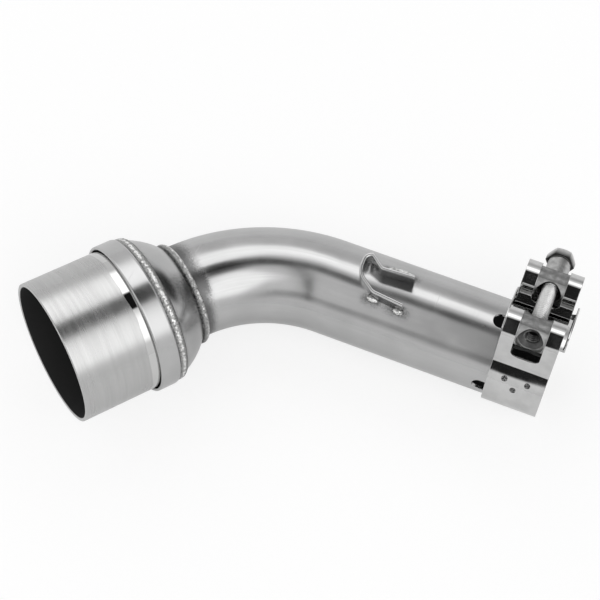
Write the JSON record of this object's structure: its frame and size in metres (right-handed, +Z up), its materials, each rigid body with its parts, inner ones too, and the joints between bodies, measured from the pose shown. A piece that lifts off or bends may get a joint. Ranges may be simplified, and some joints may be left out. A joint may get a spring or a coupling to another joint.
{
  "type": "exhaust mid pipe",
  "caption": "Bent stainless exhaust mid pipe with a domed reducer and wide outlet sleeve, a welded side bracket and a slotted inlet held by a bolted band clamp.",
  "frame": {"origin": "centre of the footprint's bounding box, on the floor the pipe lies on", "axes": "+Z up; +X along the straight inlet towards its clamped end; the bend turns towards -Y and -X"},
  "size_m": [0.2034, 0.1292, 0.0661],
  "materials": {
    "polished_stainless": "polished, with soft lengthwise reflections",
    "brushed_stainless": "fine brushed lines round the sleeve",
    "weld_metal": "coarse rippled weld bead with dark edges",
    "band_stainless": "mirror polished strip",
    "zinc_plate": "dull zinc plated, turned"
  },
  "bodies": {
    "pipe": {"bent_pipe": "polished_stainless", "reducer_dome": "polished_stainless", "collar_ring": "polished_stainless", "outlet_sleeve": "brushed_stainless", "pipe_weld": "weld_metal", "collar_weld": "weld_metal", "side_bracket": "polished_stainless", "bracket_weld_1": "weld_metal", "bracket_weld_2": "weld_metal", "bracket_weld_3": "weld_metal", "clamp_band": "band_stainless", "bridge_plate": "band_stainless", "tapped_trunnion": "zinc_plate", "plain_trunnion": "zinc_plate", "spacer_bush": "zinc_plate"},
    "bolt": {"clamp_bolt": "zinc_plate"}
  },
  "joints": [
    {"name": "bolt_turn", "type": "hinge", "parent": "pipe", "child": "bolt", "pos_m": [0.08847, 0.05888, 0.03233], "axis": [0.0114, 0.8865, -0.4626], "continuous": true}
  ]
}
